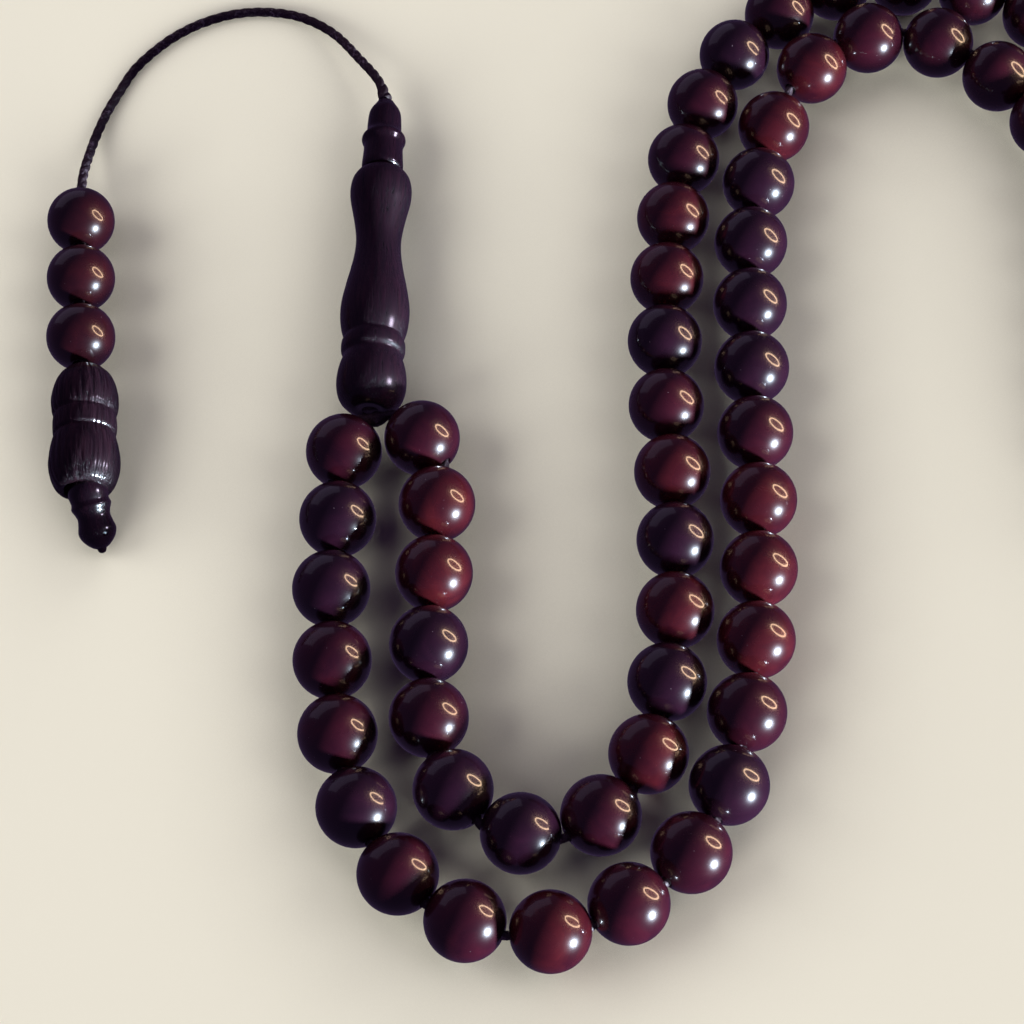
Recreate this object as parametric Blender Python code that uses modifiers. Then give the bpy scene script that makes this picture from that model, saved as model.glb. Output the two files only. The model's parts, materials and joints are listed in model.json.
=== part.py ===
"""A misbaha (prayer beads): a closed loop of 66 beads, with a pillar, cap, tail cord and finial, on a table.

Plan lengths are in millimetres on the table top, seen from above, and become metres in `plan`.
"""

import math

import bpy
import bmesh
from mathutils import Matrix, Vector

MM = 0.001

# The plan below is drawn from a corner of convenience; this point of it is the model's origin.
ORIGIN = (13.87, 10.41)

# Loop beads: round, flattened where the cord comes out.
BEAD_RADIUS = 4.0
BEAD_HALF_LENGTH = 3.8
BEAD_BORE = 0.9
BEAD_PITCH = 8.05
BEADS_PER_STRAND = 33
OUTER_SINGLE_BEADS = 25
INNER_SINGLE_BEADS = 21
INNER_FIRST_RUN = 6

# Tail beads are the same bead, a little smaller.
TAIL_BEAD_RADIUS = 3.7
TAIL_BEAD_PITCH = 7.6
TAIL_BEADS = 3

# Cords.
LOOP_CORD_RADIUS = 0.5
KNOT_RADIUS = 0.9
RUN_NECK_RADIUS = 1.5
PILLAR_CORD_RADIUS = 0.8
TAIL_CORD_RADIUS = 0.55
TAIL_CORD_STEP = 2.5

# Turned pieces lie on their widest part, so this is both that radius and their axes' height.
TURNED_RADIUS = 3.8
PILLAR_BORE = 1.1
FINIAL_BORE = 0.9
CLEARANCE = 0.3
SHARP_ANGLE = math.radians(40)

# Separator disc between the two strands of 33.
SEPARATOR_RADIUS = 3.5
SEPARATOR_HALF_LENGTH = 1.5
SEPARATOR_CHAMFER = 0.7
SEPARATOR_AT = (69.6, -5.4)
SEPARATOR_HEADING = math.radians(8)

BEAD_SIDES = 12
TURNED_SIDES = 16
TUBE_SIDES = 8
# Where a bead's flats meet, as shares of its radius: half the height of its band, and its shoulder.
BEAD_BAND = math.tan(math.radians(15))
BEAD_SHOULDER_RADIUS = 0.7125
BEAD_SHOULDER_HEIGHT = 0.7375

# The strands' routes on the table, from the pillar to the far turn, through the beads' middles.
OUTER_ROUTE = [
    (-15.4, 10.4), (-17.7, 5.1), (-18.1, -3.2), (-18.5, -11.3), (-18.1, -19.3),
    (-17.3, -27.2), (-15.2, -34.9), (-11.0, -41.7), (-4.7, -46.3), (3.3, -47.5),
    (11.0, -44.8), (17.3, -39.6), (21.3, -32.6), (23.4, -24.9), (24.7, -16.9),
    (25.7, -1.0), (25.7, 15.0), (26.3, 31.2), (27.5, 39.2), (29.7, 47.4),
    (34.3, 55.4), (41.3, 59.9), (49.2, 59.2), (55.6, 54.4), (60.4, 48.0),
    (62.8, 40.2), (63.4, 32.0), (63.3, 16.0), (63.3, 8.0), (64.0, 0.0), (66.0, -4.5),
]
INNER_ROUTE = [
    (-13.6, 10.4), (-9.5, 6.7), (-7.8, -1.3), (-8.0, -9.3), (-8.3, -25.2),
    (-5.9, -32.8), (0.8, -37.5), (8.6, -35.7), (13.4, -29.4), (15.5, -21.7),
    (16.6, -13.6), (16.8, 2.4), (16.4, 10.5), (16.9, 26.4), (19.2, 42.4),
    (21.6, 50.2), (25.5, 57.3), (30.9, 63.2), (38.2, 67.7), (46.3, 68.3),
    (54.0, 66.8), (61.2, 63.2), (67.3, 57.8), (71.7, 50.8), (74.2, 42.8),
    (75.1, 34.0), (75.3, 18.0), (75.2, 9.9), (74.6, 2.0), (73.0, -3.0),
]
# Bare cord before a bead, beyond the pitch: {bead number: length}.
OUTER_SLACK = {8: 0.2, 22: 1.5}
INNER_SLACK = {}
# The first beads lean towards the knot: {bead number: direction of its bore in degrees}.
OUTER_LEAN = {0: -104, 1: -86}
INNER_LEAN = {0: -50, 1: -99}

KNOT_AT = (-14.4, 9.0)
# The knot thins to the cord over this share of the way to the beads beside it.
KNOT_TAPER = 0.3
PILLAR_BASE = (-15.1, 10.2)
PILLAR_HEADING = math.radians(89)
CAP_GAP = 0.3

# The tail cord, from the cap over the table to the finial: x, y and height.
TAIL_ROUTE = [
    (-14.4, 51.1, 3.8), (-15.2, 53.9, 3.5), (-17.7, 58.1, 2.5), (-21.1, 62.8, 1.4), (-24.9, 65.5, 0.8),
    (-28.6, 66.4, 0.6), (-32.3, 66.2, 0.6), (-36.0, 65.0, 0.6), (-39.4, 62.9, 0.6), (-42.0, 60.4, 0.6),
    (-44.0, 57.8, 0.6), (-45.4, 54.8, 0.6), (-46.6, 51.8, 0.7), (-47.5, 48.4, 1.0), (-48.0, 44.9, 1.8),
    (-48.2, 41.2, 3.0), (-48.1, 38.3, 3.6),
]
TAIL_FIRST_BEAD = (-47.8, 34.6)
TAIL_HEADING = math.radians(-85.5)
FINIAL_TOP = (-45.8, 15.5)
FINIAL_HEADING = math.radians(-85.9)
FINIAL_TIP_HEADING = math.radians(-74)
FINIAL_TIP_DROP = math.radians(26)

# Turned outlines: distance from the piece's lower end, and radius.
PILLAR_OUTLINE = [
    (0.0, 2.0), (1.2, 3.3), (3.0, 3.8), (5.2, 3.6), (6.7, 3.2), (7.1, 3.5), (8.3, 3.5), (8.7, 3.25),
    (9.4, 3.45), (12.7, 3.8), (15.5, 3.35), (17.7, 2.9), (20.7, 2.5), (22.8, 2.55), (25.2, 3.0),
    (28.2, 3.45), (29.9, 3.2), (30.7, 2.4),
]
CAP_OUTLINE = [
    (0.0, 2.2), (0.5, 2.45), (3.6, 2.4), (4.2, 2.5), (4.8, 2.3), (5.6, 1.95), (8.9, 1.9), (9.5, 1.5),
]
FINIAL_OUTLINE = [
    (0.0, 1.4), (0.65, 2.2), (1.5, 2.9), (2.6, 3.33), (4.2, 3.6), (5.4, 3.5), (6.0, 3.25), (6.5, 3.4),
    (8.1, 3.4), (8.5, 3.2), (8.9, 3.4), (11.6, 3.8), (13.0, 3.65), (14.3, 3.26), (15.05, 2.7),
]
# The finial's tip is held by a ball in a round seat in the body's end, this far from the top.
SEAT_AT = 15.3
SEAT_RADIUS = 2.2
TIP_BALL_RADIUS = 1.5
TIP_BALL_EDGE = math.radians(25)
TIP_MOUTH_RADIUS = 1.2
# The ball has slipped this far sideways in its seat.
TIP_SHIFT = 0.4
# Distances from the ball's middle.
TIP_OUTLINE = [
    (1.25, 2.2), (1.6, 2.05), (2.0, 1.85), (2.6, 1.72), (3.3, 1.84), (4.1, 2.0), (4.8, 1.75),
    (5.4, 1.3), (6.0, 0.75), (6.3, 0.35), (6.5, 0.0),
]
TIP_HOLE_MOUTH = 0.3
TIP_HOLE_BOTTOM = 1.0

# Materials: colour, roughness.
FINISHES = {
    "bead_resin": ((0.10, 0.012, 0.016), 0.18),
    "turned_wood": ((0.055, 0.022, 0.02), 0.45),
    "cap_wood": ((0.05, 0.016, 0.018), 0.25),
    "waxed_cord": ((0.045, 0.02, 0.025), 0.7),
}


def clear_scene():
    for thing in list(bpy.data.objects):
        bpy.data.objects.remove(thing)


def new_collection(name):
    collection = bpy.data.collections.new(name)
    bpy.context.scene.collection.children.link(collection)
    return collection


def new_material(name):
    colour, roughness = FINISHES[name]
    material = bpy.data.materials.new(name)
    material.use_nodes = True
    shader = material.node_tree.nodes["Principled BSDF"]
    shader.inputs["Base Color"].default_value = (*colour, 1.0)
    shader.inputs["Roughness"].default_value = roughness
    shader.inputs["Metallic"].default_value = 0.0
    return material


def plan(x, y, z):
    """A point of the plan, in metres from the model's origin."""
    return Vector((x - ORIGIN[0], y - ORIGIN[1], z)) * MM


def heading(angle):
    return Vector((math.cos(angle), math.sin(angle), 0.0))


# ---------------------------------------------------------------- routes


def smooth_line(points, steps=40):
    """A dense centripetal Catmull-Rom line through the points."""
    points = [Vector(p) for p in points]
    ends = [2 * points[0] - points[1], *points, 2 * points[-1] - points[-2]]
    line = []
    for a, b, c, d in zip(ends, ends[1:], ends[2:], ends[3:]):
        t1 = (b - a).length ** 0.5
        t2 = t1 + (c - b).length ** 0.5
        t3 = t2 + (d - c).length ** 0.5
        for k in range(steps):
            t = t1 + (t2 - t1) * k / steps
            ab = a.lerp(b, t / t1)
            bc = b.lerp(c, (t - t1) / (t2 - t1))
            cd = c.lerp(d, (t - t2) / (t3 - t2))
            abc = ab.lerp(bc, t / t2)
            bcd = bc.lerp(cd, (t - t1) / (t3 - t1))
            line.append(abc.lerp(bcd, (t - t1) / (t2 - t1)))
    line.append(points[-1])
    return line


def walk(line, index, distances):
    """Points along the line from line[index], each at its straight distance from the one before."""
    here = line[index]
    found = [here]
    for distance in distances:
        while (line[index + 1] - here).length < distance:
            index += 1
        near = (line[index] - here).length
        far = (line[index + 1] - here).length
        here = line[index].lerp(line[index + 1], (distance - near) / (far - near))
        found.append(here)
    return found


def strand(route, slack, lean):
    """Every bead of a strand, from the pillar on: (middle in the plan, bore direction)."""
    line = smooth_line(route)
    first = Vector(route[1])
    start = min(range(len(line)), key=lambda i: (line[i] - first).length)
    steps = [BEAD_PITCH + slack.get(i, 0.0) for i in range(1, BEADS_PER_STRAND)]
    middles = walk(line, start, steps)
    beads = []
    for i, middle in enumerate(middles):
        if i in lean:
            beads.append((middle, heading(math.radians(lean[i]))))
            continue
        after = middles[i + 1] if i + 1 < len(middles) else line[-1]
        along = after - middles[i - 1]
        beads.append((middle, Vector((along.x, along.y, 0.0)).normalized()))
    return beads


# ---------------------------------------------------------------- shapes


def ring_mesh(name, outline, closed):
    """A turning profile of (radius, height) in mm as edges in the XZ plane."""
    mesh = bpy.data.meshes.new(name)
    count = len(outline)
    edges = [(i, (i + 1) % count) for i in range(count if closed else count - 1)]
    mesh.from_pydata([(r * MM, 0.0, z * MM) for r, z in outline], edges, [])
    return mesh


def turn(thing, sides):
    screw = thing.modifiers.new("turn", "SCREW")
    screw.axis = "Z"
    screw.angle = 2 * math.pi
    screw.steps = sides
    screw.render_steps = sides
    screw.use_merge_vertices = True
    screw.merge_threshold = 0.00001
    screw.use_smooth_shade = True


def aim(thing, at, direction, sides):
    """Lay a turned piece down: its axis along direction, with a flat of its faceted outline underneath."""
    yaw = math.atan2(direction.y, direction.x)
    pitch = math.acos(max(-1.0, min(1.0, direction.z)))
    turned = Matrix.Rotation(yaw, 4, "Z") @ Matrix.Rotation(pitch, 4, "Y")
    thing.matrix_world = (
        Matrix.Translation(at) @ turned @ Matrix.Rotation(math.pi / sides, 4, "Z")
    )


def bead_outline(radius, half_length, bore):
    """Half of a round bead's section, as flats that the ball touches, closed by its bore."""
    facet = 1 / math.cos(math.pi / BEAD_SIDES)
    top = [
        (bore, half_length),
        (radius * BEAD_SHOULDER_RADIUS * facet, radius * BEAD_SHOULDER_HEIGHT),
        (radius * facet, radius * BEAD_BAND),
    ]
    return top + [(r, -z) for r, z in reversed(top)]


def turned_outline(outline, bore):
    """A drilled piece's section: down the outside, and back up the bore."""
    facet = 1 / math.cos(math.pi / TURNED_SIDES)
    outside = [(r * facet, z) for z, r in reversed(outline)]
    return outside + [(bore, outline[0][0]), (bore, outline[-1][0])]


def tube(name, points, radii, sides, collection, material):
    """A tube through the points (plan x, y, height in mm), with a radius at each."""
    curve = bpy.data.curves.new(name, "CURVE")
    curve.dimensions = "3D"
    curve.twist_mode = "Z_UP"
    curve.bevel_depth = MM
    curve.bevel_resolution = sides // 2 - 2
    curve.use_fill_caps = True
    spline = curve.splines.new("POLY")
    spline.points.add(len(points) - 1)
    for point, place, radius in zip(spline.points, points, radii):
        point.co = (*plan(*place), 1.0)
        point.radius = radius
        point.tilt = math.pi / sides
    thing = bpy.data.objects.new(name, curve)
    collection.objects.link(thing)
    curve.materials.append(material)
    return thing


def as_mesh(thing):
    """A curve object's surface as a mesh object, with its loose caps joined on."""
    bpy.context.view_layer.update()
    evaluated = thing.evaluated_get(bpy.context.evaluated_depsgraph_get())
    mesh = bpy.data.meshes.new_from_object(evaluated)
    shape = bmesh.new()
    shape.from_mesh(mesh)
    bmesh.ops.remove_doubles(shape, verts=shape.verts, dist=0.000001)
    shape.to_mesh(mesh)
    shape.free()
    name = thing.name
    collection = thing.users_collection[0]
    placed = thing.matrix_world.copy()
    bpy.data.objects.remove(thing)
    solid = bpy.data.objects.new(name, mesh)
    solid.matrix_world = placed
    collection.objects.link(solid)
    return solid


def cut(thing, cutter):
    cutter.hide_render = True
    cutter.display_type = "WIRE"
    boolean = thing.modifiers.new("bore", "BOOLEAN")
    boolean.operation = "DIFFERENCE"
    boolean.solver = "EXACT"
    boolean.object = cutter


# ---------------------------------------------------------------- pieces


def mouths(bead, half_length=BEAD_HALF_LENGTH):
    """Where the cord goes into and comes out of a bead, in the plan."""
    middle, direction = bead
    along = direction.xy * half_length
    return [(*(middle - along), BEAD_RADIUS), (*(middle + along), BEAD_RADIUS)]


def make_bead(name, mesh, at, direction, parts):
    bead = bpy.data.objects.new(name, mesh)
    turn(bead, BEAD_SIDES)
    aim(bead, at, direction, BEAD_SIDES)
    parts.objects.link(bead)
    return bead


def loop_beads(outer, inner, parts, material):
    """The beads that are modelled singly, all on one shared mesh."""
    mesh = ring_mesh("bead", bead_outline(BEAD_RADIUS, BEAD_HALF_LENGTH, BEAD_BORE), closed=True)
    mesh.materials.append(material)
    singles = {"outer": outer[:OUTER_SINGLE_BEADS], "inner": inner[:INNER_SINGLE_BEADS]}
    for side, beads in singles.items():
        for number, (middle, direction) in enumerate(beads, 1):
            name = f"{side}_bead_{number:02d}"
            make_bead(name, mesh, plan(*middle, BEAD_RADIUS), direction, parts)


def bead_run(name, beads, parts, cutters, material):
    """Neighbouring beads joined by short necks round the cord, bored along the whole run."""
    facet = 1 / math.cos(math.pi / TUBE_SIDES)
    half = [
        (-BEAD_HALF_LENGTH, RUN_NECK_RADIUS),
        (-BEAD_RADIUS * BEAD_SHOULDER_HEIGHT, BEAD_RADIUS * BEAD_SHOULDER_RADIUS),
        (-BEAD_RADIUS * BEAD_BAND, BEAD_RADIUS),
    ]
    stations = half + [(-x, r) for x, r in reversed(half)]
    points = []
    radii = []
    for middle, direction in beads:
        for along, radius in stations:
            points.append((*(middle + direction.xy * along), BEAD_RADIUS))
            radii.append(radius * facet)
    outside = tube(name, points, radii, TUBE_SIDES, parts, material)
    solid = as_mesh(outside)
    solid.data.shade_smooth()
    solid.data.set_sharp_from_angle(angle=SHARP_ANGLE)
    bore_line = [p for bead in beads for p in mouths(bead)]
    for end, bead, sign in ((0, beads[0], -1), (-1, beads[-1], 1)):
        middle, direction = bead
        bore_line[end] = (*(middle + direction.xy * sign * 2 * BEAD_HALF_LENGTH), BEAD_RADIUS)
    bore = tube(f"{name}_bore", bore_line, [BEAD_BORE] * len(bore_line), TUBE_SIDES, cutters, material)
    cut(solid, as_mesh(bore))


def loop_cord(outer, inner, parts, material):
    """The cord through both strands and the separator, a ring that closes in the knot under the pillar."""
    along = heading(SEPARATOR_HEADING)
    separator = mouths((Vector(SEPARATOR_AT), along), SEPARATOR_HALF_LENGTH)
    there = [p for bead in outer for p in mouths(bead)]
    back = [p for bead in reversed(inner) for p in reversed(mouths(bead))]
    points = there + separator + back
    radii = [LOOP_CORD_RADIUS] * len(points) + [LOOP_CORD_RADIUS, KNOT_RADIUS, LOOP_CORD_RADIUS]
    knot = Vector(KNOT_AT)
    before = knot.lerp(Vector(points[-1][:2]), KNOT_TAPER)
    after = knot.lerp(Vector(points[0][:2]), KNOT_TAPER)
    points += [(*before, BEAD_RADIUS), (*knot, BEAD_RADIUS), (*after, BEAD_RADIUS)]
    cord = tube("loop_cord", points, radii, TUBE_SIDES, parts, material)
    cord.data.use_fill_caps = False
    cord.data.splines[0].use_cyclic_u = True


def separator_disc(parts, material):
    r = SEPARATOR_RADIUS / math.cos(math.pi / BEAD_SIDES)
    half = SEPARATOR_HALF_LENGTH - CLEARANCE / 2
    outline = [(BEAD_BORE, half), (r - SEPARATOR_CHAMFER, half), (r, half - SEPARATOR_CHAMFER)]
    outline += [(radius, -z) for radius, z in reversed(outline)]
    mesh = ring_mesh("separator", outline, closed=True)
    mesh.materials.append(material)
    at = plan(*SEPARATOR_AT, BEAD_RADIUS)
    make_bead("separator", mesh, at, heading(SEPARATOR_HEADING), parts)


def turned_piece(name, outline, closed, at, direction, parts, material):
    mesh = ring_mesh(name, outline, closed)
    mesh.materials.append(material)
    piece = bpy.data.objects.new(name, mesh)
    turn(piece, TURNED_SIDES)
    aim(piece, plan(*at), direction, TURNED_SIDES)
    parts.objects.link(piece)


def pillar_and_cap(parts, materials):
    direction = heading(PILLAR_HEADING)
    base = Vector(PILLAR_BASE)
    cap_base = base + direction.xy * (PILLAR_OUTLINE[-1][0] + CAP_GAP)
    cap_top = cap_base + direction.xy * CAP_OUTLINE[-1][0]
    pillar = turned_outline(PILLAR_OUTLINE, PILLAR_BORE)
    base_at = (*base, TURNED_RADIUS)
    turned_piece("pillar", pillar, True, base_at, direction, parts, materials["turned_wood"])
    cap = turned_outline(CAP_OUTLINE, PILLAR_BORE)
    cap_at = (*cap_base, TURNED_RADIUS)
    turned_piece("cap", cap, True, cap_at, direction, parts, materials["cap_wood"])
    ends = [(*base, TURNED_RADIUS), (*(cap_top - direction.xy * CLEARANCE), TURNED_RADIUS)]
    radii = [PILLAR_CORD_RADIUS] * 2
    tube("pillar_cord", ends, radii, TUBE_SIDES, parts, materials["waxed_cord"])


def tip_direction():
    flat = heading(FINIAL_TIP_HEADING) * math.cos(FINIAL_TIP_DROP)
    return Vector((flat.x, flat.y, -math.sin(FINIAL_TIP_DROP)))


def tip_ball():
    """The middle of the ball that the finial's tip turns on, in the plan."""
    seat = Vector(FINIAL_TOP) + heading(FINIAL_HEADING).xy * SEAT_AT
    return Vector((seat.x + TIP_SHIFT, seat.y, TURNED_RADIUS))


def on_circle(radius, angle):
    """The (radius, height) of a point on a ball's section, from its equator."""
    return (radius * math.cos(angle), radius * math.sin(angle))


def finial(parts, material):
    """The finial's body, bored through with a round seat in its end, and the tip that leans in that seat."""
    facet = 1 / math.cos(math.pi / TURNED_SIDES)
    body = [(r * facet, z) for z, r in reversed(FINIAL_OUTLINE)]
    body.append((FINIAL_BORE, 0.0))
    deepest = -math.acos(FINIAL_BORE / SEAT_RADIUS)
    shallowest = math.asin((FINIAL_OUTLINE[-1][0] - SEAT_AT) / SEAT_RADIUS)
    for angle in (deepest, (deepest + shallowest) / 2, shallowest):
        radius, height = on_circle(SEAT_RADIUS, angle)
        body.append((radius, SEAT_AT + height))
    at = (*FINIAL_TOP, TURNED_RADIUS)
    turned_piece("finial_body", body, True, at, heading(FINIAL_HEADING), parts, material)

    tip = [(r * facet, z) for z, r in reversed(TIP_OUTLINE)]
    mouth = -math.acos(TIP_MOUTH_RADIUS / TIP_BALL_RADIUS)
    tip += [on_circle(TIP_BALL_RADIUS, angle) for angle in (TIP_BALL_EDGE, 0.0, mouth)]
    tip += [(FINIAL_BORE, TIP_HOLE_MOUTH), (FINIAL_BORE, TIP_HOLE_BOTTOM), (0.0, TIP_HOLE_BOTTOM)]
    turned_piece("finial_tip", tip, False, tip_ball(), tip_direction(), parts, material)


def tail(parts, materials):
    """The tail cord, the beads on it and the finial on its end."""
    along = heading(TAIL_HEADING)
    first = Vector(TAIL_FIRST_BEAD)
    half_length = BEAD_HALF_LENGTH * TAIL_BEAD_RADIUS / BEAD_RADIUS
    mesh = ring_mesh("tail_bead", bead_outline(TAIL_BEAD_RADIUS, half_length, BEAD_BORE), closed=True)
    mesh.materials.append(materials["bead_resin"])
    middles = [first + along.xy * TAIL_BEAD_PITCH * i for i in range(TAIL_BEADS)]
    for number, middle in enumerate(middles, 1):
        at = plan(*middle, TAIL_BEAD_RADIUS)
        make_bead(f"tail_bead_{number}", mesh, at, along, parts)

    finial(parts, materials["turned_wood"])

    in_beads = [(*middle, TAIL_BEAD_RADIUS) for middle in middles]
    bore_end = Vector(FINIAL_TOP) + heading(FINIAL_HEADING).xy * (SEAT_AT - SEAT_RADIUS)
    cord_end = tip_ball() + tip_direction() * (TIP_HOLE_BOTTOM - CLEARANCE)
    in_finial = [(*FINIAL_TOP, TURNED_RADIUS), (*bore_end, TURNED_RADIUS), tip_ball(), cord_end]
    line = smooth_line([*TAIL_ROUTE, *in_beads, *in_finial])
    length = sum((b - a).length for a, b in zip(line, line[1:]))
    steps = int(length / TAIL_CORD_STEP) - 1
    points = [*walk(line, 0, [TAIL_CORD_STEP] * steps), line[-1]]
    radii = [TAIL_CORD_RADIUS] * len(points)
    tube("tail_cord", [tuple(p) for p in points], radii, TUBE_SIDES, parts, materials["waxed_cord"])


def main():
    clear_scene()
    parts = new_collection("misbaha")
    cutters = new_collection("cutters")
    materials = {name: new_material(name) for name in FINISHES}
    resin = materials["bead_resin"]

    outer = strand(OUTER_ROUTE, OUTER_SLACK, OUTER_LEAN)
    inner = strand(INNER_ROUTE, INNER_SLACK, INNER_LEAN)
    loop_beads(outer, inner, parts, resin)
    middle_of_inner = INNER_SINGLE_BEADS + INNER_FIRST_RUN
    bead_run("outer_bead_run", outer[OUTER_SINGLE_BEADS:], parts, cutters, resin)
    bead_run("inner_bead_run_1", inner[INNER_SINGLE_BEADS:middle_of_inner], parts, cutters, resin)
    bead_run("inner_bead_run_2", inner[middle_of_inner:], parts, cutters, resin)
    loop_cord(outer, inner, parts, materials["waxed_cord"])
    separator_disc(parts, materials["turned_wood"])
    pillar_and_cap(parts, materials)
    tail(parts, materials)


main()
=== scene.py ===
"""A misbaha (prayer beads) lying on a pale table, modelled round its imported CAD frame.

Lengths in the plan are in millimetres, with x and y on the table top and z up.
`plan` turns them into metres.
"""

import json
import math
import random

import bmesh
import bpy
from mathutils import Matrix, Vector, noise

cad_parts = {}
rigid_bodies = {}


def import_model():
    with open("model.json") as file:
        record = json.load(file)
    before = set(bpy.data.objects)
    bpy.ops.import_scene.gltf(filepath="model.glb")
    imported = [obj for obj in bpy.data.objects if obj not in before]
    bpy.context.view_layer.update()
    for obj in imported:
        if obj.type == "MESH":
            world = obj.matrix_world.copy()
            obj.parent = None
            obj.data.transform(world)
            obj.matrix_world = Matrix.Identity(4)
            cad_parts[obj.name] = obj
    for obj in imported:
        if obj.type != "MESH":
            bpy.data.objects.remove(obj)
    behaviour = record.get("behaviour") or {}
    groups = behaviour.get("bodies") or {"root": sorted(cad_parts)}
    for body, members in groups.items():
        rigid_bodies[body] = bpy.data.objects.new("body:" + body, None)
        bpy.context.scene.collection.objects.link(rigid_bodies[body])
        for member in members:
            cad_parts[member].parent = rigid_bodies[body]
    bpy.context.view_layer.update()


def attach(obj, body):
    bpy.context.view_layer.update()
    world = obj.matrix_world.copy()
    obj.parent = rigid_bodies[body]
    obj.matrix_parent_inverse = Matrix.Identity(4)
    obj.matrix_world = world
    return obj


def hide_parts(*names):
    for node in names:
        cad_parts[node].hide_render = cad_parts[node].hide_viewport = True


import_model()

MM = 0.001
# This point of the plan is the model's origin.
ORIGIN = (13.87, 10.41)

BEAD_RADIUS = 4.0
# From a bead's middle to its mouth in the CAD, where the cord's route bends.
BEAD_HALF_LENGTH = 3.8
BEAD_BORE = 0.9
# The loop's visual beads are rounder than the CAD's, with narrower bores.
BALL_HALF_LENGTH = 3.92
BALL_BORE = 0.62
BALL_LIP = 0.12
BEAD_PITCH = 8.05
BEADS_PER_STRAND = 33
TAIL_BEAD_RADIUS = 3.7
TAIL_HALF_LENGTH = BEAD_HALF_LENGTH * TAIL_BEAD_RADIUS / BEAD_RADIUS
TURNED_RADIUS = 3.8

# The strands' routes on the table, from the pillar to the far turn.
# Each starts at the knot and then runs through the beads' middles.
OUTER_ROUTE = [
    (-15.4, 10.4), (-17.7, 5.1), (-18.1, -3.2), (-18.5, -11.3), (-18.1, -19.3),
    (-17.3, -27.2), (-15.2, -34.9), (-11.0, -41.7), (-4.7, -46.3), (3.3, -47.5),
    (11.0, -44.8), (17.3, -39.6), (21.3, -32.6), (23.4, -24.9), (24.7, -16.9),
    (25.7, -1.0), (25.7, 15.0), (26.3, 31.2), (27.5, 39.2), (29.7, 47.4),
    (34.3, 55.4), (41.3, 59.9), (49.2, 59.2), (55.6, 54.4), (60.4, 48.0),
    (62.8, 40.2), (63.4, 32.0), (63.3, 16.0), (63.3, 8.0), (64.0, 0.0), (66.0, -4.5),
]
INNER_ROUTE = [
    (-13.6, 10.4), (-9.5, 6.7), (-7.8, -1.3), (-8.0, -9.3), (-8.3, -25.2),
    (-5.9, -32.8), (0.8, -37.5), (8.6, -35.7), (13.4, -29.4), (15.5, -21.7),
    (16.6, -13.6), (16.8, 2.4), (16.4, 10.5), (16.9, 26.4), (19.2, 42.4),
    (21.6, 50.2), (25.5, 57.3), (30.9, 63.2), (38.2, 67.7), (46.3, 68.3),
    (54.0, 66.8), (61.2, 63.2), (67.3, 57.8), (71.7, 50.8), (74.2, 42.8),
    (75.1, 34.0), (75.3, 18.0), (75.2, 9.9), (74.6, 2.0), (73.0, -3.0),
]
# Bare cord before a bead, beyond the pitch: {bead number from 0: length}.
OUTER_SLACK = {8: 0.2, 22: 1.5}
# The first beads lean towards the knot: {bead number from 0: direction of its bore in degrees}.
OUTER_LEAN = {0: -104, 1: -86}
INNER_LEAN = {0: -50, 1: -99}
SEPARATOR_AT = (69.6, -5.4)
SEPARATOR_HEADING = math.radians(8)
SEPARATOR_HALF_LENGTH = 1.5
KNOT_AT = (-14.4, 9.0)
PILLAR_BASE = (-15.1, 10.2)
PILLAR_HEADING = math.radians(89)
PILLAR_LENGTH = 30.7
CAP_GAP = 0.3
CAP_LENGTH = 9.5

# The tail cord, from the cap over the table to the first tail bead: x, y and height.
TAIL_ROUTE = [
    (-14.4, 51.1, 3.8), (-15.2, 53.9, 3.5), (-17.7, 58.1, 2.5), (-21.1, 62.8, 1.4), (-24.9, 65.5, 0.8),
    (-28.6, 66.4, 0.6), (-32.3, 66.2, 0.6), (-36.0, 65.0, 0.6), (-39.4, 62.9, 0.6), (-42.0, 60.4, 0.6),
    (-44.0, 57.8, 0.6), (-45.4, 54.8, 0.6), (-46.6, 51.8, 0.7), (-47.5, 48.4, 1.0), (-48.0, 44.9, 1.8),
    (-48.2, 41.2, 3.0), (-48.1, 38.3, 3.6),
]
TAIL_FIRST_BEAD = (-47.8, 34.6)
TAIL_HEADING = math.radians(-85.5)
TAIL_BEAD_PITCH = 7.6
TAIL_BEADS = 3
FINIAL_TOP = (-45.8, 15.5)
FINIAL_HEADING = math.radians(-85.9)
FINIAL_BORE_END = 13.1
# The tip's ball sits this far from the finial's top.
SEAT_AT = 15.3
TIP_SHIFT = 0.4
TIP_HEADING = math.radians(-74)
TIP_DROP = math.radians(26)
TIP_CORD_DEPTH = 0.7


def plan(x, y, z=0.0):
    """A point of the plan, in metres from the model's origin."""
    return Vector((x - ORIGIN[0], y - ORIGIN[1], z)) * MM


def heading(angle):
    return Vector((math.cos(angle), math.sin(angle), 0.0))


def smooth_line(points, steps=40):
    """A dense centripetal Catmull-Rom line through the points."""
    points = [Vector(p) for p in points]
    ends = [2 * points[0] - points[1], *points, 2 * points[-1] - points[-2]]
    line = []
    for a, b, c, d in zip(ends, ends[1:], ends[2:], ends[3:]):
        t1 = (b - a).length ** 0.5
        t2 = t1 + (c - b).length ** 0.5
        t3 = t2 + (d - c).length ** 0.5
        for k in range(steps):
            t = t1 + (t2 - t1) * k / steps
            ab = a.lerp(b, t / t1)
            bc = b.lerp(c, (t - t1) / (t2 - t1))
            cd = c.lerp(d, (t - t2) / (t3 - t2))
            abc = ab.lerp(bc, t / t2)
            bcd = bc.lerp(cd, (t - t1) / (t3 - t1))
            line.append(abc.lerp(bcd, (t - t1) / (t2 - t1)))
    line.append(points[-1])
    return line


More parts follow.
